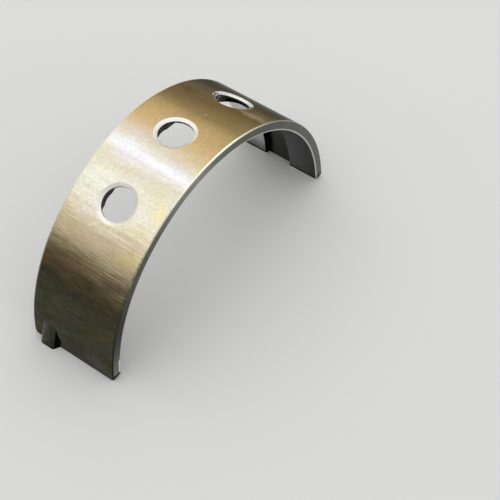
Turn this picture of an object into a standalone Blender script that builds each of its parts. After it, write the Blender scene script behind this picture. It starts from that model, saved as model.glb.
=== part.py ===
"""Engine bearing shell: the grooved upper half of a plain crankshaft bearing, standing on its joint faces.

The joint faces lie at Z = 0 and the crown points up. The locating tang is on the -X leg, nearer the +Y rim.
The origin is the middle of the footprint, so the bore axis, which runs along Y at Z = 0, lies half the tang's
projection to the +X side of it. Lengths are in metres and angles in degrees.
"""

import math

import bmesh
import bpy

# Shell
HOUSING_DIAMETER = 0.0666
WALL = 0.002
WIDTH = 0.0203
RIM_BREAK_WIDTH = 0.0003
RIM_BREAK_DEPTH = 0.00012
RIM_CHAMFER_INSIDE = 0.0001
JOINT_CHAMFER_AT_BORE = 0.0005
JOINT_CHAMFER_AT_RIMS = 0.0006

# Oil groove round the middle of the bore, from joint face to joint face
GROOVE_WIDTH = 0.0064
WALL_UNDER_GROOVE = 0.0008
GROOVE_CORNER_RADIUS = 0.0003

# Oil holes, with angles counted from the joint face on the tang's side
OIL_HOLE_COUNT = 3
OIL_HOLE_DIAMETER = 0.0069
OIL_HOLE_PITCH = 31.0
MIDDLE_HOLE_ANGLE = 90.7
COUNTERSINK_WIDTH = 0.00075
COUNTERSINK_DEPTH = 0.0004

# Locating tang, pressed out of the wall at the joint face
TANG_WIDTH = 0.003
TANG_LENGTH = 0.005
TANG_PROJECTION = 0.0014
TANG_INSET = 0.00275
TANG_FLANK_DRAFT = 0.0008
TANG_EDGE_RADIUS = 0.00035
TANG_WALL_GAIN = 0.0002

# Facets
RING_SEGMENTS = 180
HOLE_SEGMENTS = 48
CORNER_SEGMENTS = 3
SHARP_ANGLE = 25.0

# Distances by which a cutter runs past what it cuts
OVERRUN = 0.001

housing_radius = HOUSING_DIAMETER / 2
bore_radius = housing_radius - WALL
groove_radius = housing_radius - WALL_UNDER_GROOVE
hole_radius = OIL_HOLE_DIAMETER / 2
tang_middle = WIDTH / 2 - TANG_INSET - TANG_WIDTH / 2


def clear_scene():
    for obj in list(bpy.data.objects):
        bpy.data.objects.remove(obj, do_unlink=True)


def collection(name):
    made = bpy.data.collections.new(name)
    bpy.context.scene.collection.children.link(made)
    return made


def principled(name, colour, metallic, roughness):
    material = bpy.data.materials.new(name)
    material.use_nodes = True
    shader = material.node_tree.nodes["Principled BSDF"]
    shader.inputs["Base Color"].default_value = (*colour, 1.0)
    shader.inputs["Metallic"].default_value = metallic
    shader.inputs["Roughness"].default_value = roughness
    return material


def add_object(name, mesh, home, cutter=False):
    obj = bpy.data.objects.new(name, mesh)
    home.objects.link(obj)
    if cutter:
        obj.hide_render = True
        obj.display_type = "WIRE"
    return obj


def mesh_from(name, bm):
    mesh = bpy.data.meshes.new(name)
    bm.to_mesh(mesh)
    bm.free()
    return mesh


def turned(name, profile, segments, home, cutter=False):
    """A closed section of (radius, height) points turned about Z. It runs down its outer side first."""
    bm = bmesh.new()
    points = [bm.verts.new((radius, 0.0, height)) for radius, height in profile]
    for start, end in zip(points, points[1:] + points[:1]):
        bm.edges.new((start, end))
    obj = add_object(name, mesh_from(name, bm), home, cutter)
    screw = obj.modifiers.new("turn", "SCREW")
    screw.axis = "Z"
    screw.angle = math.tau
    screw.steps = segments
    screw.render_steps = segments
    screw.use_merge_vertices = True
    screw.merge_threshold = 1e-6
    screw.use_smooth_shade = True
    return obj


def tapered_block(name, corner, home):
    """A cube whose eight corners are placed by corner(x_side, y_side, z_side), each side being -1 or 1."""
    bm = bmesh.new()
    bmesh.ops.create_cube(bm, size=2.0)
    for vert in bm.verts:
        sides = (round(vert.co.x), round(vert.co.y), round(vert.co.z))
        vert.co = corner(*sides)
    bmesh.ops.recalc_face_normals(bm, faces=bm.faces)
    return add_object(name, mesh_from(name, bm), home, cutter=True)


def cut(obj, cutter, operation="DIFFERENCE"):
    modifier = obj.modifiers.new(cutter.name, "BOOLEAN")
    modifier.operation = operation
    modifier.solver = "EXACT"
    modifier.object = cutter


def apply_modifiers(obj):
    bpy.context.view_layer.update()
    graph = bpy.context.evaluated_depsgraph_get()
    obj.data = bpy.data.meshes.new_from_object(obj.evaluated_get(graph))
    obj.modifiers.clear()


def arc(centre, radius, start, end):
    for step in range(CORNER_SEGMENTS + 1):
        angle = math.radians(start + (end - start) * step / CORNER_SEGMENTS)
        yield centre[0] + radius * math.cos(angle), centre[1] + radius * math.sin(angle)


def shell_section():
    """Half of the section is a mirror of the other, so each side is written once for both rims."""
    half_width = WIDTH / 2
    half_groove = GROOVE_WIDTH / 2
    corner_radius = groove_radius - GROOVE_CORNER_RADIUS
    corner_height = half_groove - GROOVE_CORNER_RADIUS
    outside = [
        (housing_radius - RIM_BREAK_DEPTH, half_width),
        (housing_radius, half_width - RIM_BREAK_WIDTH),
    ]
    inside = [
        (bore_radius + RIM_CHAMFER_INSIDE, -half_width),
        (bore_radius, RIM_CHAMFER_INSIDE - half_width),
        (bore_radius, -half_groove),
        *arc((corner_radius, -corner_height), GROOVE_CORNER_RADIUS, -90.0, 0.0),
    ]
    down_outside = outside + [(radius, -height) for radius, height in reversed(outside)]
    up_inside = inside + [(radius, -height) for radius, height in reversed(inside)]
    return down_outside + up_inside


def make_ring(home):
    """The full ring, turned by half a facet so that the joint plane meets it in the middle of two facets."""
    ring = turned("bearing_shell", shell_section(), RING_SEGMENTS, home)
    half_facet = math.pi / RING_SEGMENTS
    ring.rotation_euler = (math.pi / 2, half_facet, 0.0)
    return ring


def make_joint_cutter(home):
    """The lower half of the ring, up to the joint plane."""
    reach = housing_radius + TANG_PROJECTION + OVERRUN
    depth = reach * 2
    bm = bmesh.new()
    bmesh.ops.create_cube(bm, size=1.0)
    bmesh.ops.scale(bm, vec=(reach * 2, WIDTH + OVERRUN * 2, depth), verts=bm.verts)
    bmesh.ops.translate(bm, vec=(0.0, 0.0, -depth / 2), verts=bm.verts)
    return add_object("below_joint", mesh_from("below_joint", bm), home, cutter=True)


def corner_bar(name, chamfer, length, home):
    """A square bar along Z, turned onto its corner so that it cuts a chamfer of that size along an edge."""
    bm = bmesh.new()
    bmesh.ops.create_cone(bm, cap_ends=True, segments=4, radius1=chamfer, radius2=chamfer, depth=length)
    return add_object(name, mesh_from(name, bm), home, cutter=True)


def make_joint_bore_chamfer(side, home):
    bar = corner_bar("joint_bore_chamfer", JOINT_CHAMFER_AT_BORE, WIDTH + OVERRUN * 2, home)
    bar.location = (side * bore_radius, 0.0, 0.0)
    bar.rotation_euler = (math.pi / 2, 0.0, 0.0)
    return bar


def make_joint_rim_chamfer(side, home):
    """One bar crosses both legs, along the edge that their joint faces share with this rim."""
    reach = housing_radius + TANG_PROJECTION + OVERRUN
    bar = corner_bar("joint_rim_chamfer", JOINT_CHAMFER_AT_RIMS, reach * 2, home)
    bar.location = (0.0, side * WIDTH / 2, 0.0)
    bar.rotation_euler = (0.0, math.pi / 2, 0.0)
    return bar


def tang_face_slope():
    """How far the tang's face falls back towards the wall for each metre above the joint."""
    wall_at_top = math.sqrt(housing_radius**2 - TANG_LENGTH**2)
    return (housing_radius + TANG_PROJECTION - wall_at_top) / TANG_LENGTH


def make_tang(home):
    """The wedge that stands proud of the back, with drafted flanks and its foot buried in the wall."""
    buried = WALL_UNDER_GROOVE / 2
    slope = tang_face_slope()

    def corner(x_side, y_side, z_side):
        height = TANG_LENGTH + buried if z_side > 0 else -OVERRUN
        face = housing_radius + TANG_PROJECTION - slope * height
        if z_side > 0:
            foot = face - buried
        else:
            foot = housing_radius - buried
        out = face if x_side < 0 else foot
        draft = TANG_FLANK_DRAFT * (face - out) / TANG_PROJECTION
        return (-out, tang_middle + y_side * (TANG_WIDTH / 2 + draft), height)

    tang = tapered_block("tang", corner, home)
    bevel = tang.modifiers.new("worn_edges", "BEVEL")
    bevel.width = TANG_EDGE_RADIUS
    bevel.segments = CORNER_SEGMENTS
    bevel.limit_method = "ANGLE"
    return tang


def make_tang_pocket(home):
    """The recess that pressing the tang out leaves in the bore."""
    depth = TANG_PROJECTION - TANG_WALL_GAIN
    wall_at_top = math.sqrt(bore_radius**2 - TANG_LENGTH**2)
    slope = (bore_radius + depth - wall_at_top) / TANG_LENGTH

    def corner(x_side, y_side, z_side):
        height = TANG_LENGTH + OVERRUN if z_side > 0 else -OVERRUN
        floor = bore_radius + depth - slope * height
        out = floor if x_side < 0 else wall_at_top - WALL
        return (-out, tang_middle + y_side * TANG_WIDTH / 2, height)

    return tapered_block("tang_pocket", corner, home)


def make_hole_cutter(number, home):
    """A punch and its countersink, saddled over the round back so that the chamfer is even all round."""
    mouth = hole_radius + COUNTERSINK_WIDTH
    spread = COUNTERSINK_WIDTH / COUNTERSINK_DEPTH
    profile = [
        (mouth + spread * OVERRUN, OVERRUN),
        (hole_radius, -COUNTERSINK_DEPTH),
        (hole_radius, -WALL - OVERRUN * 2),
        (0.0, -WALL - OVERRUN * 2),
        (0.0, OVERRUN),
    ]
    punch = turned(f"oil_hole_{number}", profile, HOLE_SEGMENTS, home, cutter=True)
    apply_modifiers(punch)
    for vert in punch.data.vertices:
        vert.co.z += math.sqrt(housing_radius**2 - vert.co.x**2)
    from_middle = (number - (OIL_HOLE_COUNT + 1) / 2) * OIL_HOLE_PITCH
    lean = math.radians(MIDDLE_HOLE_ANGLE + from_middle - 90.0)
    punch.rotation_euler = (0.0, lean, 0.0)
    return punch


def place_on_bore_axis(pieces):
    """Sets the bore axis, which all of it is laid out round, off the origin by half the tang's projection."""
    axis = add_object("bore_axis", None, bpy.context.scene.collection)
    axis.location.x = TANG_PROJECTION / 2
    for piece in pieces:
        piece.parent = axis


def make_bearing_shell():
    parts = collection("engine_bearing_shell")
    cutters = collection("cutters")
    shell = make_ring(parts)
    cut(shell, make_tang(cutters), "UNION")
    cut(shell, make_joint_cutter(cutters))
    cut(shell, make_tang_pocket(cutters))
    for side in (-1, 1):
        cut(shell, make_joint_bore_chamfer(side, cutters))
        cut(shell, make_joint_rim_chamfer(side, cutters))
    for number in range(1, OIL_HOLE_COUNT + 1):
        cut(shell, make_hole_cutter(number, cutters))
    place_on_bore_axis((*parts.objects, *cutters.objects))
    apply_modifiers(shell)
    shell.data.shade_smooth()
    shell.data.set_sharp_from_angle(angle=math.radians(SHARP_ANGLE))
    shell.data.materials.clear()
    shell.data.materials.append(principled("ground_steel", (0.46, 0.40, 0.31), 1.0, 0.32))
    return shell


clear_scene()
make_bearing_shell()
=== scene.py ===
"""Looks of the engine bearing shell: a champagne-coloured steel back, machined rims and a grey lining.

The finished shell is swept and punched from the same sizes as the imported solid, with its edges rounded.
Lengths are in metres and angles in degrees, but the finishes' patterns are sized in millimetres. The bore
axis runs along Y, half the tang's projection to the +X side of the origin, and angles round the bore are
counted from the tang's joint face, over the crown, to the plain joint face.
"""

import math

import bmesh
import bpy
from mathutils import Matrix, Quaternion, Vector


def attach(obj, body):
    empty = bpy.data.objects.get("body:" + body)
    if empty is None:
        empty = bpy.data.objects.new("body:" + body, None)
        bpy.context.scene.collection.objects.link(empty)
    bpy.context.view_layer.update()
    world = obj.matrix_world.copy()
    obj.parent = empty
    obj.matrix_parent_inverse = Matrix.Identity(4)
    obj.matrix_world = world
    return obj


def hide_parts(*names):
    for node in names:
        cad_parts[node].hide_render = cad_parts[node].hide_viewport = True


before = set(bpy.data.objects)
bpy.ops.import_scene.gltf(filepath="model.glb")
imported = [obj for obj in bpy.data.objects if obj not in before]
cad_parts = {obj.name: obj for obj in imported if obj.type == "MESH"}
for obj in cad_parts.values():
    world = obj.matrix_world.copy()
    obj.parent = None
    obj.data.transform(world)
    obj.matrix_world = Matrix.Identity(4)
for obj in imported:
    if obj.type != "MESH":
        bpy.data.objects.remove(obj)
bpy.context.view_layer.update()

# Shell
HOUSING_DIAMETER = 0.0666
WALL = 0.002
WIDTH = 0.0203
RIM_BREAK_WIDTH = 0.0003
RIM_BREAK_DEPTH = 0.00012
RIM_CHAMFER_INSIDE = 0.0001
JOINT_CHAMFER_AT_BORE = 0.0005
JOINT_CHAMFER_AT_RIMS = 0.0006
EDGE_ROUNDING = 0.00005
HOLE_EDGE_ROUNDING = EDGE_ROUNDING * 2
BACK_ROUNDING = 0.0006
LINING_SHOWN = 0.0002

# Oil groove
GROOVE_WIDTH = 0.0064
WALL_UNDER_GROOVE = 0.0008
GROOVE_CORNER_RADIUS = 0.0003

# Oil holes
OIL_HOLE_COUNT = 3
OIL_HOLE_DIAMETER = 0.0069
OIL_HOLE_PITCH = 31.0
MIDDLE_HOLE_ANGLE = 90.7
COUNTERSINK_WIDTH = 0.00075
COUNTERSINK_DEPTH = 0.0004

# Locating tang
TANG_WIDTH = 0.003
TANG_LENGTH = 0.005
TANG_PROJECTION = 0.0014
TANG_INSET = 0.00275
TANG_FLANK_DRAFT = 0.0008
TANG_EDGE_RADIUS = 0.00035
TANG_WALL_GAIN = 0.0002

# Facets of the finished surface
RING_STEPS = 372
HOLE_STEPS = 128
ROUND_STEPS = 4
SHARP_ANGLE = 30.0
WIDEST_STRIP = 0.0009

# How far the sweep runs past the joint faces, in degrees, and a cutter past what it cuts
SWEEP_PAST_JOINT = 3.0
OVERRUN = 0.001

# Millimetres in a metre
MM = 1000.0

# Camera
CAMERA_TARGET = Vector((0.00858, -0.01071, 0.0))
CAMERA_AZIMUTH = -50.667
CAMERA_ELEVATION = 49.459
CAMERA_DISTANCE = 0.30326
CAMERA_ROLL = -2.111
CAMERA_LENS = 107.81
CAMERA_SENSOR = 36.0
CAMERA_NEAREST = 0.01

# Softboxes: name, direction, distance, width, depth and radiance. A direction is the degrees round from -X
# over the top, and the degrees of tilt towards +Y.
SOFTBOXES = (
    ("key_softbox", (88.1, 26.5), 0.6, 1.508, 0.7, 0.44),
    ("strip_softbox", (96.5, 26.5), 0.55, 0.05, 0.7, 0.35),
    ("overhead_softbox", (108.0, -21.0), 0.6, 1.35, 0.36, 0.5),
    ("front_softbox", (108.0, -62.0), 0.7, 0.9, 0.35, 0.4),
    ("rear_softbox", (108.0, 80.0), 0.7, 0.7, 0.3, 0.35),
)

# Studio
WORLD_COLOUR = (0.8, 0.8, 0.8)
WORLD_STRENGTH = 0.7
FLOOR_COLOUR = (0.80, 0.80, 0.79)
FLOOR_ROUGHNESS = 0.9
FLOOR_HALF_SIZE = 1.5

housing_radius = HOUSING_DIAMETER / 2
bore_radius = housing_radius - WALL
hole_radius = OIL_HOLE_DIAMETER / 2
half_width = WIDTH / 2
half_groove = GROOVE_WIDTH / 2
tang_middle = half_width - TANG_INSET - TANG_WIDTH / 2
bore_axis = Vector((TANG_PROJECTION / 2, 0.0, 0.0))
rim_lining_radius = (bore_radius + RIM_CHAMFER_INSIDE + LINING_SHOWN) * MM


# Mesh helpers


def scene_object(name, data):
    made = bpy.data.objects.new(name, data)
    bpy.context.scene.collection.objects.link(made)
    return made


def mesh_from(name, bm):
    mesh = bpy.data.meshes.new(name)
    bm.to_mesh(mesh)
    bm.free()
    return mesh


def apply_modifiers(obj):
    bpy.context.view_layer.update()
    graph = bpy.context.evaluated_depsgraph_get()
    obj.data = bpy.data.meshes.new_from_object(obj.evaluated_get(graph))
    obj.modifiers.clear()


def outline_object(name, points):
    """A closed line of edges through the points."""
    bm = bmesh.new()
    verts = [bm.verts.new(point) for point in points]
    for start, end in zip(verts, verts[1:] + verts[:1]):
        bm.edges.new((start, end))
    return scene_object(name, mesh_from(name, bm))


def rounded(corners):
    """A closed outline through (x, y, radius) corners, each turned into an arc of its own radius."""
    points = []
    count = len(corners)
    for index, (x, y, radius) in enumerate(corners):
        here = Vector((x, y))
        before = (Vector(corners[index - 1][:2]) - here).normalized()
        after = (Vector(corners[(index + 1) % count][:2]) - here).normalized()
        half_angle = before.angle(after) / 2
        reach = radius / math.tan(half_angle)
        centre = here + (before + after).normalized() * (radius / math.sin(half_angle))
        first = here + before * reach - centre
        turn = first.angle_signed(here + after * reach - centre)
        for step in range(ROUND_STEPS + 1):
            arm = first.copy()
            arm.rotate(Matrix.Rotation(-turn * step / ROUND_STEPS, 2))
            points.append(tuple(centre + arm))
    return points


def divided(points, longest):
    """The same closed outline with extra points along its long straight sides."""
    result = []
    for start, end in zip(points, points[1:] + points[:1]):
        count = math.ceil(math.dist(start, end) / longest)
        for step in range(count):
            result.append(tuple(Vector(start).lerp(Vector(end), step / count)))
    return result


# Node helpers


class Nodes:
    """Adds nodes to a tree. An input goes by name or number, and is a socket to link from or a value."""

    def __init__(self, tree):
        self.tree = tree

    def node(self, kind, settings=None, **inputs):
        made = self.tree.nodes.new(kind)
        for name, value in (settings or {}).items():
            setattr(made, name, value)
        for name, value in inputs.items():
            key = int(name[2:]) if name.startswith("in") else name.replace("_", " ")
            self.join(value, made.inputs[key])
        return made

    def join(self, value, target):
        if isinstance(value, bpy.types.NodeSocket):
            self.tree.links.new(value, target)
        elif target.type == "RGBA" and len(value) == 3:
            target.default_value = (*value, 1.0)
        else:
            target.default_value = value

    def math(self, operation, a, b=0.0, c=0.0):
        return self.node("ShaderNodeMath", {"operation": operation}, in0=a, in1=b, in2=c).outputs[0]

    def vector(self, operation, a, b=(0.0, 0.0, 0.0), c=(0.0, 0.0, 0.0)):
        return self.node("ShaderNodeVectorMath", {"operation": operation}, in0=a, in1=b, in2=c).outputs[0]


class ShapeTree(Nodes):
    """A Geometry Nodes tree with named inputs that is set on an object as a modifier."""

    def __init__(self, name):
        super().__init__(bpy.data.node_groups.new(name, "GeometryNodeTree"))
        self.tree.interface.new_socket("Geometry", in_out="INPUT", socket_type="NodeSocketGeometry")
        self.tree.interface.new_socket("Geometry", in_out="OUTPUT", socket_type="NodeSocketGeometry")
        self.source = self.tree.nodes.new("NodeGroupInput")
        self.result = self.tree.nodes.new("NodeGroupOutput")
        self.values = {}

    def input(self, name, kind, value):
        socket = self.tree.interface.new_socket(name, in_out="INPUT", socket_type=f"NodeSocket{kind}")
        self.values[socket.identifier] = value
        return self.source.outputs[name]

    def finish(self, geometry, metal):
        """Ends the tree with real geometry that wears the named material."""
        real = self.node("GeometryNodeRealizeInstances", Geometry=geometry)
        smooth = self.node("GeometryNodeSetShadeSmooth", Geometry=real.outputs[0])
        worn = self.node("GeometryNodeSetMaterial", Geometry=smooth.outputs[0], Material=metal)
        self.join(worn.outputs[0], self.result.inputs[0])

    def put_on(self, obj):
        modifier = obj.modifiers.new(self.tree.name, "NODES")
        modifier.node_group = self.tree
        for identifier, value in self.values.items():
            modifier[identifier] = value


def make_place_group():
    """Places on the shell in millimetres: round from the tang's joint face, along the bore, and out."""
    group = bpy.data.node_groups.new("place_on_shell", "ShaderNodeTree")
    for name in ("Place", "Round Way"):
        group.interface.new_socket(name, in_out="OUTPUT", socket_type="NodeSocketVector")
    for name in ("Angle", "Along", "Out", "From Hole"):
        group.interface.new_socket(name, in_out="OUTPUT", socket_type="NodeSocketFloat")
    nodes = Nodes(group)
    millimetres = nodes.node(
        "ShaderNodeMapping",
        Vector=nodes.node("ShaderNodeTexCoord").outputs["Object"],
        Location=-bore_axis * MM,
        Scale=(MM, MM, MM),
    )
    x, along, z = nodes.node("ShaderNodeSeparateXYZ", in0=millimetres.outputs[0]).outputs
    turn = nodes.math("ARCTAN2", z, nodes.math("MULTIPLY", x, -1.0))
    round_back = nodes.math("MULTIPLY", turn, housing_radius * MM)
    out = nodes.math("SQRT", nodes.math("MULTIPLY_ADD", x, x, nodes.math("MULTIPLY", z, z)))
    place = nodes.node("ShaderNodeCombineXYZ", in0=round_back, in1=along, in2=out)
    round_way = nodes.node("ShaderNodeCombineXYZ", in0=z, in2=nodes.math("MULTIPLY", x, -1.0))
    half_pitch = back_length(OIL_HOLE_PITCH) / 2
    from_middle = nodes.math("SUBTRACT", round_back, back_length(MIDDLE_HOLE_ANGLE))
    from_hole = nodes.math("WRAP", from_middle, half_pitch, -half_pitch)
    along_squared = nodes.math("MULTIPLY", along, along)
    reach = nodes.math("SQRT", nodes.math("MULTIPLY_ADD", from_hole, from_hole, along_squared))
    result = nodes.node("NodeGroupOutput")
    nodes.join(place.outputs[0], result.inputs["Place"])
    nodes.join(nodes.math("DEGREES", turn), result.inputs["Angle"])
    nodes.join(along, result.inputs["Along"])
    nodes.join(out, result.inputs["Out"])
    nodes.join(nodes.vector("NORMALIZE", round_way.outputs[0]), result.inputs["Round Way"])
    nodes.join(reach, result.inputs["From Hole"])
    return group


def back_length(angle):
    """Millimetres round the back over an angle in degrees."""
    return math.radians(angle) * housing_radius * MM


# Edge tint of surfaces that stay dark at a low angle, and the near-black of painted shade in corners, at
# the feet and on the groove's wall
DULL = (0.15, 0.15, 0.13)
PAINTED_SHADE_BLACK = (0.006, 0.006, 0.005)


class Finish(Nodes):
    """A metal finish whose pattern follows the places on the shell. Sizes are in millimetres."""

    def __init__(self, name, anisotropy=0.0, edge_tint=(1.0, 1.0, 1.0)):
        self.material = bpy.data.materials.new(name)
        self.material.use_nodes = True
        super().__init__(self.material.node_tree)
        self.shader = self.tree.nodes["Principled BSDF"]
        self.shader.inputs["Metallic"].default_value = 1.0
        self.shader.inputs["Anisotropic"].default_value = anisotropy
        self.shader.inputs["Specular Tint"].default_value = (*edge_tint, 1.0)
        group = self.node("ShaderNodeGroup", {"node_tree": place_group})
        self.place = group.outputs["Place"]
        self.angle = group.outputs["Angle"]
        self.along = group.outputs["Along"]
        self.out = group.outputs["Out"]
        self.from_hole = group.outputs["From Hole"]
        self.from_joint = self.math("MINIMUM", self.angle, self.math("SUBTRACT", 180.0, self.angle))
        self.join(group.outputs["Round Way"], self.shader.inputs["Tangent"])

    def grain(self, size, detail=2.0, shift=0.0):
        """Noise about 0, with grains of the given size (round, along, out)."""
        spread = tuple(1 / length for length in size)
        at = self.vector("MULTIPLY_ADD", self.place, spread, (shift, shift, shift))
        noise = self.node("ShaderNodeTexNoise", Vector=at, Scale=1.0, Detail=detail)
        return self.math("SUBTRACT", noise.outputs["Fac"], 0.5)

    def cloud_vector(self, size):
        """Smooth wandering about 0 in all three ways, with clouds of the given size."""
        spread = tuple(1 / length for length in size)
        at = self.vector("MULTIPLY", self.place, spread)
        noise = self.node("ShaderNodeTexNoise", Vector=at, Scale=1.0, Detail=3.0)
        return self.vector("SUBTRACT", noise.outputs["Color"], (0.5, 0.5, 0.5))

    def ring_grain(self, size):
        """Noise about 0 in rings round each oil hole."""
        spread = self.math("DIVIDE", self.from_hole, size)
        noise = self.node("ShaderNodeTexNoise", {"noise_dimensions": "1D"}, W=spread, Scale=1.0, Detail=2.0)
        return self.math("SUBTRACT", noise.outputs["Fac"], 0.5)

    def sum(self, base, *terms):
        """Base plus each (amount, value) term."""
        total = base
        for amount, value in terms:
            total = self.math("MULTIPLY_ADD", value, amount, total)
        return total

    def spot(self, angle, along, reach_round, reach_along, wander=None):
        """Mask of a soft-edged oval spot, 1 in its middle. Wander is a vector that frays its edge."""
        at = self.vector("ADD", self.place, wander) if wander else self.place
        centre = (back_length(angle), along, housing_radius * MM)
        off = self.vector("SUBTRACT", at, centre)
        share = self.vector("MULTIPLY", off, (1 / reach_round, 1 / reach_along, 0.0))
        length = self.node("ShaderNodeVectorMath", {"operation": "LENGTH"}, in0=share).outputs["Value"]
        return self.fade(length, 1.0, 0.0)

    def fade(self, value, low, high):
        """Smooth step from 0 at low to 1 at high."""
        return self.node(
            "ShaderNodeMapRange",
            {"interpolation_type": "SMOOTHSTEP"},
            Value=value,
            From_Min=low,
            From_Max=high,
        ).outputs[0]

    def ramp(self, value, stops):
        """Colour at a value, between (value, colour) stops."""
        low = stops[0][0]
        high = stops[-1][0]
        share = self.math("DIVIDE", self.math("SUBTRACT", value, low), high - low)
        made = self.node("ShaderNodeValToRGB", Fac=share)
        elements = made.color_ramp.elements
        elements[0].color = (*stops[0][1], 1.0)
        elements[1].color = (*stops[-1][1], 1.0)
        for at, colour in stops[1:-1]:
            elements.new((at - low) / (high - low)).color = (*colour, 1.0)
        return made.outputs["Color"]

    def mix(self, share, a, b):
        """Colour a at share 0 and b at share 1."""
        made = self.node("ShaderNodeMix", {"data_type": "RGBA"})
        self.join(share, made.inputs[0])
        self.join(a, made.inputs[6])
        self.join(b, made.inputs[7])
        return made.outputs[2]

    def scale(self, colour, amount):
        scaled = self.node("ShaderNodeVectorMath", {"operation": "SCALE"}, in0=colour, Scale=amount)
        return scaled.outputs[0]

    def tinge(self, colour, amount, way):
        """The colour with its red, green and blue each changed by its share in way, times an amount."""
        return self.vector("MULTIPLY", colour, self.vector("MULTIPLY_ADD", amount, way, (1.0, 1.0, 1.0)))

    def set(self, colour, roughness, height, depth):
        """Joins the pattern to the shader. Depth is the height's full size in millimetres."""
        bump = self.node("ShaderNodeBump", Height=height, Distance=depth / MM)
        self.join(colour, self.shader.inputs["Base Color"])
        self.join(roughness, self.shader.inputs["Roughness"])
        self.join(bump.outputs[0], self.shader.inputs["Normal"])
        return self.material


place_group = make_place_group()


# Finishes


# Colours round the back, by angle in degrees: legs painted dark with the floor's reflection, a shoulder
# made pale partly with painted sheen, a painted highlight band near 77 degrees, and a bronze crown darkened
# partly with painted shade
BACK_COLOURS_AND_PAINTED_REFLECTION = (
    (0.0, (0.172, 0.176, 0.150)),
    (6.0, (0.112, 0.112, 0.086)),
    (12.0, (0.083, 0.079, 0.058)),
    (27.0, (0.057, 0.050, 0.030)),
    (32.0, (0.093, 0.077, 0.041)),
    (38.0, (0.242, 0.188, 0.106)),
    (42.0, (0.520, 0.432, 0.258)),
    (48.0, (0.550, 0.465, 0.295)),
    (54.0, (0.780, 0.682, 0.492)),
    (60.0, (0.860, 0.820, 0.650)),
    (66.0, (0.860, 0.820, 0.640)),
    (71.0, (0.800, 0.725, 0.560)),
    (75.5, (0.800, 0.790, 0.730)),
    (78.0, (0.800, 0.800, 0.750)),
    (84.0, (0.740, 0.620, 0.430)),
    (89.0, (0.670, 0.475, 0.230)),
    (94.0, (0.550, 0.390, 0.182)),
    (101.0, (0.490, 0.352, 0.158)),
    (105.0, (0.440, 0.320, 0.146)),
    (112.0, (0.345, 0.245, 0.120)),
    (118.0, (0.385, 0.280, 0.168)),
    (124.0, (0.300, 0.265, 0.225)),
    (145.0, (0.180, 0.175, 0.140)),
    (180.0, (0.128, 0.135, 0.115)),
)

# Tints on the back and a painted highlight band: angle, place along, half sizes round and along in
# millimetres, colour and strength
TINTS_AND_PAINTED_HIGHLIGHT = (
    (45.0, -7.1, 2.4, 4.0, (0.620, 0.490, 0.220), 0.60),
    (47.5, -3.0, 2.4, 3.4, (0.420, 0.350, 0.215), 0.50),
    (36.8, -8.0, 2.8, 4.0, (0.120, 0.092, 0.050), 0.50),
    (33.0, 3.0, 2.8, 7.0, (0.130, 0.085, 0.045), 0.55),
    (32.0, 9.0, 1.8, 3.0, (0.190, 0.095, 0.042), 0.50),
    (17.0, -7.5, 1.6, 3.0, (0.115, 0.080, 0.032), 0.55),
    (16.0, -4.0, 1.2, 2.0, (0.090, 0.070, 0.026), 0.45),
    (25.0, 1.0, 1.8, 6.0, (0.040, 0.038, 0.032), 0.60),
    (20.0, 7.0, 3.0, 2.6, (0.045, 0.058, 0.028), 0.60),
    (9.0, -1.0, 3.4, 4.0, (0.078, 0.082, 0.056), 0.40),
    (4.0, -6.0, 2.6, 4.6, (0.205, 0.200, 0.185), 0.55),
    (63.1, -9.0, 3.4, 2.0, (0.940, 0.840, 0.400), 0.75),
    (66.5, -7.5, 2.4, 3.0, (0.840, 0.760, 0.510), 0.50),
    (64.5, 6.8, 2.6, 4.0, (0.910, 0.910, 0.820), 0.65),
    (48.0, -9.4, 2.4, 1.6, (0.700, 0.580, 0.240), 0.45),
    (71.8, 9.6, 1.2, 1.0, (0.560, 0.800, 0.500), 0.50),
    (70.5, 2.0, 1.8, 4.5, (0.800, 0.680, 0.540), 0.50),
    # The next two rows are a painted highlight band, blue-white across the width
    (77.0, -3.0, 1.4, 6.5, (0.850, 0.870, 0.880), 0.85),
    (78.6, 5.0, 2.3, 6.5, (0.840, 0.865, 0.860), 0.85),
    (84.0, -4.5, 1.8, 3.4, (0.780, 0.640, 0.510), 0.40),
    (93.0, 7.5, 2.6, 2.6, (0.660, 0.450, 0.190), 0.40),
    (112.5, 7.5, 2.6, 3.0, (0.240, 0.165, 0.080), 0.50),
    (117.2, -6.8, 1.5, 8.0, (0.660, 0.545, 0.385), 0.85),
    (120.5, -8.0, 1.6, 3.6, (0.440, 0.380, 0.300), 0.60),
    (114.9, 9.6, 1.2, 0.9, (0.420, 0.250, 0.190), 0.70),
)

# Small bright marks on the back: angle, place along, half sizes round and along in millimetres, strength
MARKS = (
    (37.4, -3.4, 0.09, 1.3, 0.45),
    (34.4, -8.7, 0.09, 1.5, 0.45),
    (40.2, -5.8, 0.09, 1.1, 0.30),
    (36.0, -7.2, 0.08, 2.0, 0.30),
    (27.5, -7.6, 0.08, 0.9, 0.14),
    (24.0, 1.4, 0.20, 0.20, 0.14),
    (5.5, -1.6, 0.14, 0.40, 0.30),
    (11.0, -9.3, 0.10, 0.50, 0.16),
    (103.9, -1.0, 0.44, 0.24, 0.90),
    (104.5, -0.8, 0.26, 0.16, 0.90),
    (66.0, -3.0, 0.25, 0.30, 0.45),
    (50.2, 1.0, 0.16, 0.60, 0.30),
)
MARK_COLOUR = (0.80, 0.74, 0.58)

# The pale, speckled halo round the first hole: its colour, and its angle, place along and half sizes
HALO_COLOUR = (0.93, 0.92, 0.88)
HALO_SPOT = (60.0, 2.0, 8.0, 10.0)

# How a tint changes red, green and blue, as a share of each
BACK_TINGE = (0.2, -0.12, 0.9)


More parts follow.
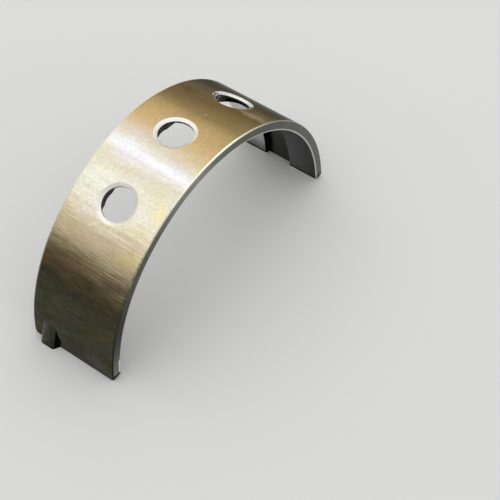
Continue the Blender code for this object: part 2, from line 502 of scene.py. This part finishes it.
def make_ground_back():
    """The ground outside: fine axial streaks low on the legs, cloudy tints, light handling marks, and
    colours that hold painted reflection, sheen and a highlight band.
    """
    finish = Finish("ground_back", anisotropy=0.3, edge_tint=(0.24, 0.24, 0.215))
    fine = finish.grain((0.15, 5.0, 4.0), detail=4.0)
    broad = finish.grain((0.8, 12.0, 9.0), detail=2.0, shift=7.0)
    cloud = finish.grain((4.5, 5.5, 9.0), detail=3.0, shift=3.0)
    tint = finish.grain((4.2, 4.6, 9.0), detail=1.5, shift=17.0)
    mottle = finish.grain((0.5, 0.6, 4.0), detail=3.0, shift=5.0)
    smudge = finish.grain((0.45, 2.6, 4.0), detail=3.0, shift=23.0)
    rising = finish.fade(finish.angle, 14.0, 30.0)
    falling = finish.fade(finish.angle, 62.0, 46.0)
    streaked = finish.math("MULTIPLY_ADD", finish.math("MULTIPLY", rising, falling), 0.65, 0.35)
    streaks = finish.math("MULTIPLY", fine, streaked)
    crown = finish.fade(finish.angle, 90.0, 108.0)
    lean = finish.math("MULTIPLY", finish.along, finish.sum(-0.08, (0.48, crown)))
    drawn = finish.sum(finish.angle, (1.0, lean), (9.0, streaks), (5.0, broad), (7.0, cloud))
    # The ramp paints the floor's dark reflection on the legs, sheen on the shoulder and the highlight band
    colour = finish.ramp(drawn, BACK_COLOURS_AND_PAINTED_REFLECTION)
    wander = finish.scale(finish.cloud_vector((3.0, 3.0, 3.0)), 2.4)
    for angle, along, reach_round, reach_along, tone, strength in TINTS_AND_PAINTED_HIGHLIGHT:
        mask = finish.spot(angle, along, reach_round, reach_along, wander)
        colour = finish.mix(finish.math("MULTIPLY", mask, strength), colour, tone)
    halo = finish.spot(*HALO_SPOT, wander)
    speckled = finish.math("MULTIPLY", halo, finish.sum(0.55, (2.2, mottle)))
    colour = finish.mix(speckled, colour, HALO_COLOUR)
    for angle, along, reach_round, reach_along, strength in MARKS:
        mask = finish.spot(angle, along, reach_round, reach_along)
        colour = finish.mix(finish.math("MULTIPLY", mask, strength), colour, MARK_COLOUR)
    on_leg = finish.fade(finish.angle, 46.0, 28.0)
    strength = finish.sum(0.45, (0.10, on_leg))
    colour = finish.tinge(colour, finish.math("MULTIPLY", tint, strength), BACK_TINGE)
    smudged = finish.math("MULTIPLY", smudge, on_leg)
    shade = finish.sum(1.0, (0.75, streaks), (0.2, broad), (0.35, mottle), (1.1, smudged))
    colour = finish.scale(colour, shade)
    roughness = finish.sum(0.20, (0.12, streaks), (0.06, broad), (0.08, cloud), (0.05, halo))
    finest = finish.grain((0.07, 3.0, 4.0), shift=11.0)
    height = finish.sum(0.5, (0.6, streaks), (0.2, finest), (0.15, mottle))
    return finish.set(colour, roughness, height, 0.008)


# Greys round the rims, by angle in degrees, lighter and darker with painted reflection
RIM_PAINTED_REFLECTION_GREYS = (
    (0.0, (0.222, 0.225, 0.206)),
    (5.0, (0.228, 0.231, 0.208)),
    (9.0, (0.132, 0.135, 0.116)),
    (17.0, (0.052, 0.054, 0.038)),
    (25.0, (0.032, 0.033, 0.020)),
    (35.0, (0.090, 0.084, 0.060)),
    (55.0, (0.138, 0.134, 0.090)),
    (65.0, (0.212, 0.204, 0.178)),
    (80.0, (0.315, 0.308, 0.258)),
    (90.0, (0.170, 0.180, 0.143)),
    (105.0, (0.108, 0.110, 0.080)),
    (120.0, (0.098, 0.100, 0.082)),
    (133.0, (0.122, 0.126, 0.108)),
    (180.0, (0.140, 0.146, 0.128)),
)


def make_machined_rim():
    """The faced rims: turned arcs and greys of painted reflection, the lining's paler end along the bore
    shown as a painted highlight from 55 to 78 degrees and at the foot, and a painted shadow line at each
    foot.
    """
    finish = Finish("machined_rim", anisotropy=0.4)
    arcs = finish.grain((22.0, 9.0, 0.06), detail=2.0)
    patches = finish.grain((2.5, 9.0, 1.4), detail=2.0, shift=4.0)
    colour = finish.ramp(finish.sum(finish.angle, (8.0, patches)), RIM_PAINTED_REFLECTION_GREYS)
    at_foot = finish.fade(finish.angle, 10.0, 7.5)
    towards_bore = finish.sum(finish.out, (0.12, patches), (-0.11, at_foot))
    lining_end = finish.fade(towards_bore, rim_lining_radius + 0.04, rim_lining_radius - 0.04)
    # The lining's end shows paler only where a painted highlight falls on it: from 55 to 78 degrees, and at
    # the foot
    painted_light_share = finish.sum(finish.fade(finish.angle, 55.0, 78.0), (1.0, at_foot))
    paler = finish.math("MULTIPLY", lining_end, painted_light_share)
    lining_end_and_highlight = finish.mix(at_foot, (0.66, 0.66, 0.64), (0.97, 0.97, 0.95))
    shown = finish.sum(0.75, (0.25, at_foot))
    colour = finish.mix(finish.math("MULTIPLY", paler, shown), colour, lining_end_and_highlight)
    colour = finish.scale(colour, finish.sum(1.0, (0.7, arcs), (0.5, patches)))
    # A near-black painted shadow line just above each foot
    colour = finish.mix(finish.fade(finish.from_joint, 2.5, 2.1), colour, PAINTED_SHADE_BLACK)
    roughness = finish.sum(0.34, (0.15, arcs), (0.1, patches))
    return finish.set(colour, roughness, finish.sum(0.5, (1.0, arcs)), 0.006)


# Colours of the outer chamfers by angle, on the near and the far rim: painted reflection, bright and dark
NEAR_EDGE_PAINTED_REFLECTION = (
    (0.0, PAINTED_SHADE_BLACK),
    (16.0, (0.030, 0.032, 0.020)),
    (27.0, (0.050, 0.048, 0.032)),
    (35.0, (0.110, 0.095, 0.058)),
    (45.0, (0.430, 0.360, 0.240)),
    (55.0, (0.900, 0.840, 0.640)),
    (66.0, (0.960, 0.920, 0.760)),
    (76.0, (0.970, 0.960, 0.820)),
    (88.0, (0.920, 0.880, 0.700)),
    (100.0, (0.980, 0.960, 0.760)),
    (110.0, (0.780, 0.720, 0.590)),
    (124.0, (0.300, 0.300, 0.265)),
    (180.0, (0.180, 0.185, 0.170)),
)
FAR_EDGE_PAINTED_REFLECTION = (
    (0.0, (0.050, 0.050, 0.040)),
    (12.0, (0.066, 0.068, 0.050)),
    (25.0, (0.140, 0.140, 0.115)),
    (36.0, (0.240, 0.220, 0.175)),
    (45.0, (0.660, 0.630, 0.550)),
    (60.0, (0.820, 0.820, 0.740)),
    (82.0, (0.940, 0.920, 0.860)),
    (90.0, (0.600, 0.520, 0.370)),
    (100.0, (0.330, 0.280, 0.190)),
    (110.0, (0.160, 0.140, 0.090)),
    (180.0, (0.120, 0.115, 0.090)),
)


def make_outer_edge():
    """The broken edges between back and rims, painted bright and dark with reflection, differently on the
    near and the far rim.
    """
    finish = Finish("outer_edge", anisotropy=0.3)
    dings = finish.grain((0.6, 3.0, 3.0), detail=3.0)
    worn = finish.sum(finish.angle, (12.0, dings))
    near = finish.ramp(worn, NEAR_EDGE_PAINTED_REFLECTION)
    far = finish.ramp(worn, FAR_EDGE_PAINTED_REFLECTION)
    colour = finish.mix(finish.fade(finish.along, -1.0, 1.0), near, far)
    colour = finish.scale(colour, finish.sum(1.0, (0.5, dings)))
    return finish.set(colour, finish.sum(0.30, (0.2, dings)), finish.sum(0.5, (0.6, dings)), 0.010)


def make_inner_edge():
    """The broken edges along the bore: freshly cut, pale lining metal."""
    finish = Finish("inner_edge")
    dings = finish.grain((0.8, 3.0, 3.0), detail=3.0)
    colour = finish.ramp(dings, ((-0.25, (0.60, 0.59, 0.55)), (0.25, (0.92, 0.91, 0.86))))
    return finish.set(colour, finish.sum(0.40, (0.2, dings)), finish.sum(0.5, (0.6, dings)), 0.008)


# Colours of the stained side of the last hole, on its ring and its wall, by how pale a blot is
STAINED_RING_COLOURS = (
    (-0.08, (0.022, 0.024, 0.019)),
    (0.0, (0.130, 0.120, 0.085)),
    (0.08, (0.780, 0.750, 0.620)),
)
STAINED_WALL_COLOURS = (
    (-0.08, (0.016, 0.018, 0.014)),
    (0.0, (0.190, 0.210, 0.175)),
    (0.08, (0.820, 0.880, 0.780)),
)


def stained_share(finish, patches):
    """Mask of the last hole's stained side, which lies towards the crown and the near rim."""
    place = finish.sum(finish.angle, (0.45, finish.along), (3.0, patches))
    last_hole = finish.fade(finish.angle, 108.0, 111.0)
    return finish.math("MULTIPLY", last_hole, finish.fade(place, 125.8, 122.3))


def make_countersink():
    """The countersinks: pale satin rings with turned lines about each hole, stained in the last one."""
    finish = Finish("countersink")
    rings = finish.ring_grain(0.09)
    patches = finish.grain((1.2, 1.2, 1.2), detail=2.0)
    colour = finish.ramp(
        finish.sum(rings, (1.0, patches)),
        ((-0.5, (0.74, 0.72, 0.63)), (0.0, (0.97, 0.95, 0.87)), (0.5, (0.98, 0.97, 0.91))),
    )
    blots = finish.grain((0.80, 0.50, 0.60), detail=2.0, shift=9.0)
    stained = finish.math("MULTIPLY", stained_share(finish, blots), 0.95)
    colour = finish.mix(stained, colour, finish.ramp(blots, STAINED_RING_COLOURS))
    roughness = finish.sum(0.42, (0.2, rings), (0.15, patches))
    return finish.set(colour, roughness, finish.sum(0.5, (0.8, rings)), 0.008)


def make_punched_wall():
    """The walls of the oil holes: painted dark with the shade in the holes, with the draw lines of the
    punch, and stained in the last hole.
    """
    finish = Finish("punched_wall")
    lines = finish.grain((0.09, 0.09, 2.0), detail=2.0)
    blots = finish.grain((0.50, 0.40, 0.40), detail=2.0, shift=14.0)
    # Near-black painted shade on the hole walls
    colour = finish.ramp(lines, ((-0.3, (0.014, 0.014, 0.011)), (0.3, (0.065, 0.064, 0.053))))
    stained = finish.math("MULTIPLY", stained_share(finish, blots), finish.fade(finish.along, 1.0, 2.4))
    colour = finish.mix(stained, colour, finish.ramp(blots, STAINED_WALL_COLOURS))
    return finish.set(colour, finish.sum(0.40, (0.3, lines)), finish.sum(0.5, (1.0, lines)), 0.010)


def make_lining():
    """The bored running surface: satin grey with fine turned lines, with painted shade on its near side
    that deepens up the plain leg, a paler far side painted darker near the joint, and a painted shadow line
    along the joint.
    """
    finish = Finish("lining", anisotropy=-0.4)
    lines = finish.grain((30.0, 0.07, 9.0), detail=2.0)
    patches = finish.grain((5.0, 3.0, 9.0), detail=2.0, shift=2.0)
    edge = half_width * MM
    land = half_groove * MM
    # Across the bore: a dark near side with painted shade and a pale far side with painted light
    lining_grey_and_painted_shade = (
        (-edge, (0.050, 0.051, 0.051)),
        (-land, (0.160, 0.163, 0.162)),
        (land, (0.570, 0.570, 0.555)),
        (edge, (0.550, 0.550, 0.540)),
    )
    # Painted shade: the near side darker up the plain leg, the far side darker near the joint; worn blends
    # the two
    near_painted_light = finish.sum(0.32, (0.76, finish.fade(finish.angle, 148.0, 174.0)))
    painted_light_share = finish.sum(0.36, (0.64, finish.fade(finish.from_joint, 1.0, 9.0)))
    worn = finish.sum(near_painted_light, (finish.fade(finish.along, -1.0, 1.0), finish.math("SUBTRACT", painted_light_share, near_painted_light)))
    sides = finish.scale(finish.ramp(finish.along, lining_grey_and_painted_shade), worn)
    colour = finish.mix(finish.fade(finish.angle, 90.0, 125.0), (0.170, 0.171, 0.167), sides)
    colour = finish.scale(colour, finish.sum(1.0, (0.5, lines), (0.5, patches)))
    # A near-black painted shadow line along the joint faces
    painted_joint_shadow = finish.fade(finish.sum(finish.from_joint, (0.8, patches)), 2.05, 1.55)
    colour = finish.mix(painted_joint_shadow, colour, (0.010, 0.010, 0.008))
    roughness = finish.sum(0.38, (0.12, lines), (0.12, patches))
    return finish.set(colour, roughness, finish.sum(0.5, (1.0, lines)), 0.004)


def make_groove_cut():
    """The floor of the oil groove: a milled track painted dark with shade over a patchy film, darker still
    up the plain leg, and near-black with painted shade in its far corner.
    """
    finish = Finish("groove_cut", anisotropy=-0.4)
    lines = finish.grain((16.0, 0.12, 0.12), detail=2.0)
    film = finish.grain((4.0, 3.0, 4.0), detail=2.0, shift=6.0)
    tones = ((-0.35, (0.030, 0.031, 0.020)), (0.35, (0.120, 0.120, 0.080)))
    colour = finish.ramp(finish.sum(film, (0.5, lines)), tones)
    # Painted shade, darker up the plain leg's groove, away from the joint
    on_plain_leg = finish.fade(finish.angle, 100.0, 130.0)
    painted_upper_shade = finish.math("MULTIPLY", on_plain_leg, finish.fade(finish.angle, 178.0, 165.0))
    colour = finish.scale(colour, finish.sum(1.0, (-0.62, painted_upper_shade)))
    corner = half_groove * MM
    # Near-black painted shade in the groove's far corner
    colour = finish.mix(finish.fade(finish.along, corner - 2.0, corner - 0.7), colour, PAINTED_SHADE_BLACK)
    roughness = finish.sum(0.22, (0.1, lines), (0.1, film))
    return finish.set(colour, roughness, finish.sum(0.5, (1.0, lines)), 0.006)


def make_pressed(name, dark, light, edge_tint=(1.0, 1.0, 1.0)):
    """Pressed or cut metal: matt, with faint lines down from the die."""
    finish = Finish(name, edge_tint=edge_tint)
    lines = finish.grain((1.6, 0.16, 4.0), detail=2.0)
    patches = finish.grain((1.4, 1.4, 1.4), detail=2.0, shift=8.0)
    colour = finish.ramp(finish.sum(lines, (0.8, patches)), ((-0.35, dark), (0.35, light)))
    roughness = finish.sum(0.40, (0.2, lines), (0.1, patches))
    return finish.set(colour, roughness, finish.sum(0.5, (1.0, lines)), 0.008)


def make_tang_face():
    """The face of the tang: painted as dark as the leg round it with the floor's reflection, and painted
    lighter towards its far edge.
    """
    finish = Finish("tang_face", edge_tint=(0.4, 0.4, 0.35))
    lines = finish.grain((1.6, 0.16, 4.0), detail=2.0)
    patches = finish.grain((0.9, 0.9, 0.9), detail=3.0, shift=8.0)
    middle = tang_middle * MM
    half = TANG_WIDTH / 2 * MM
    across = finish.sum(finish.along, (1.6, patches))
    tones = (
        (middle - half, (0.042, 0.043, 0.034)),
        (middle + half / 2, (0.086, 0.088, 0.070)),
        (middle + half, (0.120, 0.122, 0.098)),
    )
    colour = finish.scale(finish.ramp(across, tones), finish.sum(1.0, (0.5, lines), (0.9, patches)))
    roughness = finish.sum(0.40, (0.2, lines), (0.1, patches))
    return finish.set(colour, roughness, finish.sum(0.5, (1.0, lines)), 0.008)


ground_back = make_ground_back()
machined_rim = make_machined_rim()
outer_edge = make_outer_edge()
inner_edge = make_inner_edge()
countersink = make_countersink()
punched_wall = make_punched_wall()
lining = make_lining()
groove_cut = make_groove_cut()
# The groove's walls and the joint chamfers at the rims are painted near-black with shade
groove_wall = make_pressed("groove_wall", PAINTED_SHADE_BLACK, (0.020, 0.020, 0.016), DULL)
joint_edge = make_pressed("joint_edge", (0.004, 0.004, 0.003), (0.016, 0.016, 0.013), DULL)
tang_face = make_tang_face()
# The tang's flanks are painted near-black with shade, and its +Y edge paler with a painted highlight
tang_flank = make_pressed("tang_flank", (0.002, 0.002, 0.002), (0.009, 0.009, 0.007), DULL)
tang_edge = make_pressed("tang_edge", (0.170, 0.170, 0.145), (0.290, 0.288, 0.245))


# The shell's form


def shell_section():
    """Section as (distance out from the housing bore, place across the width), anticlockwise."""
    edge = EDGE_ROUNDING
    inner = -WALL
    floor = -WALL_UNDER_GROOVE
    upper = [
        (0.0, half_width - RIM_BREAK_WIDTH, BACK_ROUNDING),
        (-RIM_BREAK_DEPTH, half_width, edge),
        (inner + RIM_CHAMFER_INSIDE, half_width, edge),
        (inner, half_width - RIM_CHAMFER_INSIDE, edge),
        (inner, half_groove, edge),
        (floor, half_groove, GROOVE_CORNER_RADIUS),
    ]
    lower = [(out, -across, radius) for out, across, radius in reversed(upper)]
    return divided(rounded([*upper, *lower]), WIDEST_STRIP)


def sweep_round_the_bore(obj):
    """Sweeps the section a little more than half way round the bore axis."""
    tree = ShapeTree("sweep_round_the_bore")
    radius = tree.input("Housing Radius", "Float", housing_radius)
    past = tree.input("Past Joint", "Float", math.radians(SWEEP_PAST_JOINT))
    steps = tree.input("Steps", "Int", RING_STEPS)
    metal = tree.input("Metal", "Material", ground_back)
    sweep = tree.math("ADD", math.pi, tree.math("MULTIPLY", past, 2.0))
    start = tree.math("MULTIPLY", past, -1.0)
    path = tree.node(
        "GeometryNodeCurveArc",
        Resolution=steps,
        Radius=radius,
        Start_Angle=start,
        Sweep_Angle=sweep,
    )
    section = tree.node("GeometryNodeMeshToCurve", Mesh=tree.source.outputs["Geometry"])
    ring = tree.node(
        "GeometryNodeCurveToMesh",
        Curve=path.outputs["Curve"],
        Profile_Curve=section.outputs[0],
        Fill_Caps=True,
    )
    upright = tree.node("GeometryNodeTransform", Geometry=ring.outputs[0], Rotation=(math.pi / 2, 0.0, 0.0))
    tree.finish(upright.outputs[0], metal)
    tree.put_on(obj)


def punch_section():
    """Half section of the hole punch as (radius, height above the back), from its flared top down."""
    mouth = hole_radius + COUNTERSINK_WIDTH
    slope = math.atan2(COUNTERSINK_DEPTH, COUNTERSINK_WIDTH)
    flare = slope / ROUND_STEPS
    edge = HOLE_EDGE_ROUNDING
    reach = edge * math.tan(slope / 2)
    # The flared top, and the rounded edge between the back and the countersink
    points = [(mouth + OVERRUN, OVERRUN), (mouth + reach + edge / 2, edge / 2 * math.tan(flare))]
    for step in range(1, ROUND_STEPS + 1):
        angle = slope * step / ROUND_STEPS
        points.append((mouth + reach - edge * math.sin(angle), edge * (math.cos(angle) - 1)))
    # The rounded edge between the countersink and the hole's wall, and the punch's foot
    turn = math.pi / 2 - slope
    reach = edge * math.tan(turn / 2)
    for step in range(ROUND_STEPS + 1):
        angle = slope + turn * step / ROUND_STEPS
        out = hole_radius + edge - edge * math.sin(angle)
        points.append((out, edge * math.cos(angle) - COUNTERSINK_DEPTH - reach))
    points += [(hole_radius, -WALL - OVERRUN * 2), (0.0, -WALL - OVERRUN * 2), (0.0, OVERRUN)]
    return points


def make_punch():
    """The punch for one oil hole, saddled over the round back so that its countersink is even all round."""
    punch = outline_object("oil_hole_punch", [(radius, 0.0, height) for radius, height in punch_section()])
    screw = punch.modifiers.new("turn", "SCREW")
    screw.axis = "Z"
    screw.steps = HOLE_STEPS
    screw.render_steps = HOLE_STEPS
    screw.use_merge_vertices = True
    screw.merge_threshold = 1e-6
    apply_modifiers(punch)
    for vert in punch.data.vertices:
        vert.co.z += math.sqrt(housing_radius**2 - vert.co.x**2)
    return punch


def punch_oil_holes(obj, punch):
    """Punches the row of oil holes, each along its own radius."""
    tree = ShapeTree("punch_oil_holes")
    tool = tree.input("Punch", "Object", punch)
    count = tree.input("Count", "Int", OIL_HOLE_COUNT)
    pitch = tree.input("Pitch", "Float", math.radians(OIL_HOLE_PITCH))
    middle = tree.input("Middle Lean", "Float", math.radians(MIDDLE_HOLE_ANGLE - 90.0))
    metal = tree.input("Metal", "Material", ground_back)
    half_row = tree.math("MULTIPLY", tree.math("SUBTRACT", count, 1.0), 0.5)
    index = tree.node("GeometryNodeInputIndex").outputs[0]
    from_middle = tree.math("MULTIPLY", tree.math("SUBTRACT", index, half_row), pitch)
    lean = tree.node("ShaderNodeCombineXYZ", Y=tree.math("ADD", middle, from_middle))
    turn = tree.node("FunctionNodeEulerToRotation", Euler=lean.outputs[0])
    shape = tree.node("GeometryNodeObjectInfo", Object=tool)
    row = tree.node(
        "GeometryNodeInstanceOnPoints",
        Points=tree.node("GeometryNodePoints", Count=count).outputs[0],
        Instance=shape.outputs["Geometry"],
        Rotation=turn.outputs[0],
    )
    tools = tree.node("GeometryNodeRealizeInstances", Geometry=row.outputs[0])
    holes = tree.node("GeometryNodeMeshBoolean", {"operation": "DIFFERENCE", "solver": "EXACT"})
    tree.join(tree.source.outputs["Geometry"], holes.inputs["Mesh 1"])
    tree.join(tools.outputs[0], holes.inputs["Mesh 2"])
    tree.finish(holes.outputs["Mesh"], metal)
    tree.put_on(obj)


def tapered_block(name, corner):
    """A cube whose eight corners are placed by corner(x_side, y_side, z_side), each side being -1 or 1."""
    bm = bmesh.new()
    bmesh.ops.create_cube(bm, size=2.0)
    for vert in bm.verts:
        sides = (round(vert.co.x), round(vert.co.y), round(vert.co.z))
        vert.co = corner(*sides)
    bmesh.ops.recalc_face_normals(bm, faces=bm.faces)
    return scene_object(name, mesh_from(name, bm))


def make_tang():
    """The wedge that stands proud of the back, with drafted flanks and its foot buried in the wall."""
    buried = WALL_UNDER_GROOVE / 2
    wall_at_top = math.sqrt(housing_radius**2 - TANG_LENGTH**2)
    slope = (housing_radius + TANG_PROJECTION - wall_at_top) / TANG_LENGTH

    def corner(x_side, y_side, z_side):
        height = TANG_LENGTH + buried if z_side > 0 else -OVERRUN
        face = housing_radius + TANG_PROJECTION - slope * height
        foot = face - buried if z_side > 0 else housing_radius - buried
        out = face if x_side < 0 else foot
        draft = TANG_FLANK_DRAFT * (face - out) / TANG_PROJECTION
        return (-out, tang_middle + y_side * (TANG_WIDTH / 2 + draft), height)

    tang = tapered_block("tang_wedge", corner)
    bevel = tang.modifiers.new("worn_edges", "BEVEL")
    bevel.width = TANG_EDGE_RADIUS
    bevel.segments = ROUND_STEPS * 2
    bevel.limit_method = "ANGLE"
    apply_modifiers(tang)
    return tang


def make_tang_pocket():
    """The recess that pressing the tang out leaves in the bore."""
    depth = TANG_PROJECTION - TANG_WALL_GAIN
    wall_at_top = math.sqrt(bore_radius**2 - TANG_LENGTH**2)
    slope = (bore_radius + depth - wall_at_top) / TANG_LENGTH

    def corner(x_side, y_side, z_side):
        height = TANG_LENGTH + OVERRUN if z_side > 0 else -OVERRUN
        floor = bore_radius + depth - slope * height
        out = floor if x_side < 0 else wall_at_top - WALL
        return (-out, tang_middle + y_side * TANG_WIDTH / 2, height)

    return tapered_block("tang_pocket", corner)


def corner_bar(name, chamfer, length, location, rotation):
    """A square bar that lies on its corner, so that it cuts a chamfer of that size along an edge."""
    bm = bmesh.new()
    bmesh.ops.create_cone(bm, cap_ends=True, segments=4, radius1=chamfer, radius2=chamfer, depth=length)
    bar = scene_object(name, mesh_from(name, bm))
    bar.location = location
    bar.rotation_euler = rotation
    return bar


def make_joint_tools():
    """The block below the joint plane, and a bar for each edge of the joint faces that is broken."""
    reach = housing_radius + TANG_PROJECTION + OVERRUN
    length = WIDTH + OVERRUN * 2
    bm = bmesh.new()
    bmesh.ops.create_cube(bm, size=1.0)
    bmesh.ops.scale(bm, vec=(reach * 2, length, reach), verts=bm.verts)
    bmesh.ops.translate(bm, vec=(0.0, 0.0, -reach / 2), verts=bm.verts)
    tools = [scene_object("below_joint", mesh_from("below_joint", bm))]
    along_bore = (math.pi / 2, 0.0, 0.0)
    across_legs = (0.0, math.pi / 2, 0.0)
    for side in (-1, 1):
        at_bore = (side * bore_radius, 0.0, 0.0)
        at_rim = (0.0, side * half_width, 0.0)
        tools.append(corner_bar("bore_edge_bar", JOINT_CHAMFER_AT_BORE, length, at_bore, along_bore))
        tools.append(corner_bar("rim_edge_bar", JOINT_CHAMFER_AT_RIMS, reach * 2, at_rim, across_legs))
    return tools


def cut(obj, tool, operation="DIFFERENCE"):
    modifier = obj.modifiers.new(tool.name, "BOOLEAN")
    modifier.operation = operation
    modifier.solver = "EXACT"
    modifier.object = tool


def make_shell():
    section = [(out, across, 0.0) for out, across in shell_section()]
    shell = outline_object("bearing_shell_finished", section)
    sweep_round_the_bore(shell)
    tang = make_tang()
    punch = make_punch()
    tools = [make_tang_pocket(), *make_joint_tools()]
    cut(shell, tang, "UNION")
    for tool in tools:
        cut(shell, tool)
    punch_oil_holes(shell, punch)
    apply_modifiers(shell)
    for tool in (tang, punch, *tools):
        bpy.data.objects.remove(tool)
    return shell


# Finishes by place


# How far a face is turned some way, as the share of its normal that points there
BARELY = 0.12
PARTLY = 0.3
MOSTLY = 0.75
SQUARELY = 0.9

# How near the back or the joint plane a face lies that counts as on it
ON_SURFACE = EDGE_ROUNDING / 20


def finish_of(centre, normal):
    """The finish of a face, by its place, counted from the bore axis, and by the way it faces."""
    radius = math.hypot(centre.x, centre.z)
    facing_out = normal.dot(Vector((centre.x, 0.0, centre.z)) / radius)
    facing_along = abs(normal.y)
    across = abs(centre.y)
    in_wall = radius > bore_radius + EDGE_ROUNDING
    in_outer_half = radius > (housing_radius + bore_radius) / 2
    by_outer_edge = in_outer_half and across > half_width - RIM_BREAK_WIDTH - EDGE_ROUNDING
    if radius > housing_radius + ON_SURFACE:
        return finish_of_tang(normal)
    if near_hole(centre) and in_wall and radius < housing_radius - ON_SURFACE:
        if facing_out > PARTLY:
            return countersink
        if facing_out > -PARTLY:
            return punched_wall
    if across > half_width - EDGE_ROUNDING / 2 and facing_along > SQUARELY:
        return machined_rim
    if centre.z < JOINT_CHAMFER_AT_RIMS and normal.z < -PARTLY and facing_along > PARTLY:
        return joint_edge
    if by_outer_edge and facing_along > BARELY:
        return outer_edge
    if across > half_width - RIM_CHAMFER_INSIDE * 2 and facing_along > PARTLY:
        return inner_edge
    if facing_out > SQUARELY:
        return ground_back
    if centre.z < ON_SURFACE:
        return machined_rim
    if in_wall and across < half_groove + EDGE_ROUNDING:
        return groove_wall if facing_along > MOSTLY else groove_cut
    if centre.z < JOINT_CHAMFER_AT_BORE and facing_out > -SQUARELY:
        return inner_edge
    return lining


def finish_of_tang(normal):
    """The tang's flanks wear near-black painted shade, and only the rounded edge on its +Y side a paler
    painted highlight.
    """
    if abs(normal.y) > MOSTLY:
        return tang_flank
    if normal.y > BARELY:
        return tang_edge
    return tang_face


def near_hole(centre):
    """Whether a place lies within an oil hole and its countersink, seen along the hole."""
    reach = hole_radius + COUNTERSINK_WIDTH + EDGE_ROUNDING * 3
    offsets = (hole_offset(number, centre) for number in range(OIL_HOLE_COUNT))
    return any(math.hypot(offset, centre.y) < reach for offset in offsets)


def hole_offset(number, centre):
    """Distance from a hole's axis to a place, square to the axis and to the bore."""
    angle = math.radians(MIDDLE_HOLE_ANGLE + (number - (OIL_HOLE_COUNT - 1) / 2) * OIL_HOLE_PITCH)
    here = math.atan2(centre.z, -centre.x)
    return math.hypot(centre.x, centre.z) * math.sin(here - angle)


def dress_shell(shell):
    """Gives each face its finish, and moves the shell from the bore axis to its place."""
    finishes = [
        ground_back,
        machined_rim,
        outer_edge,
        inner_edge,
        countersink,
        punched_wall,
        lining,
        groove_cut,
        groove_wall,
        joint_edge,
        tang_face,
        tang_flank,
        tang_edge,
    ]
    mesh = shell.data
    mesh.materials.clear()
    for material in finishes:
        mesh.materials.append(material)
    for face in mesh.polygons:
        face.material_index = finishes.index(finish_of(face.center, face.normal))
    mesh.shade_smooth()
    mesh.set_sharp_from_angle(angle=math.radians(SHARP_ANGLE))
    mesh.transform(Matrix.Translation(bore_axis))


shell = make_shell()
dress_shell(shell)
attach(shell, "root")
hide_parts("bearing_shell")


# Floor, light and camera


def make_floor():
    bm = bmesh.new()
    bmesh.ops.create_grid(bm, x_segments=1, y_segments=1, size=FLOOR_HALF_SIZE)
    floor = scene_object("pale_floor", mesh_from("pale_floor", bm))
    material = bpy.data.materials.new("pale_floor")
    material.use_nodes = True
    shader = material.node_tree.nodes["Principled BSDF"]
    shader.inputs["Base Color"].default_value = (*FLOOR_COLOUR, 1.0)
    shader.inputs["Roughness"].default_value = FLOOR_ROUGHNESS
    floor.data.materials.append(material)


def make_softbox(name, toward, distance, width, depth, radiance):
    """A rectangular lamp that hangs at a distance from the origin and faces it."""
    round_angle, along_angle = (math.radians(angle) for angle in toward)
    flat = math.cos(along_angle)
    direction = Vector((-flat * math.cos(round_angle), math.sin(along_angle), flat * math.sin(round_angle)))
    data = bpy.data.lights.new(name, "AREA")
    data.shape = "RECTANGLE"
    data.size = width
    data.size_y = depth
    data.energy = radiance * math.pi * width * depth
    lamp = scene_object(name, data)
    lamp.location = direction * distance
    lamp.rotation_euler = direction.to_track_quat("Z", "Y").to_euler()


def make_world():
    world = bpy.data.worlds.new("studio")
    bpy.context.scene.world = world
    world.use_nodes = True
    background = world.node_tree.nodes["Background"]
    background.inputs["Color"].default_value = (*WORLD_COLOUR, 1.0)
    background.inputs["Strength"].default_value = WORLD_STRENGTH


def make_camera():
    azimuth = math.radians(CAMERA_AZIMUTH)
    elevation = math.radians(CAMERA_ELEVATION)
    back = Vector(
        (
            math.sin(azimuth) * math.cos(elevation),
            -math.cos(azimuth) * math.cos(elevation),
            math.sin(elevation),
        )
    )
    data = bpy.data.cameras.new("camera")
    data.lens = CAMERA_LENS
    data.sensor_width = CAMERA_SENSOR
    data.clip_start = CAMERA_NEAREST
    camera = scene_object("camera", data)
    camera.location = CAMERA_TARGET + back * CAMERA_DISTANCE
    roll = Quaternion((0.0, 0.0, 1.0), math.radians(CAMERA_ROLL))
    camera.rotation_mode = "QUATERNION"
    camera.rotation_quaternion = (-back).to_track_quat("-Z", "Y") @ roll
    bpy.context.scene.camera = camera


make_floor()
for softbox in SOFTBOXES:
    make_softbox(*softbox)
make_world()
make_camera()
bpy.context.scene.view_settings.view_transform = "Standard"
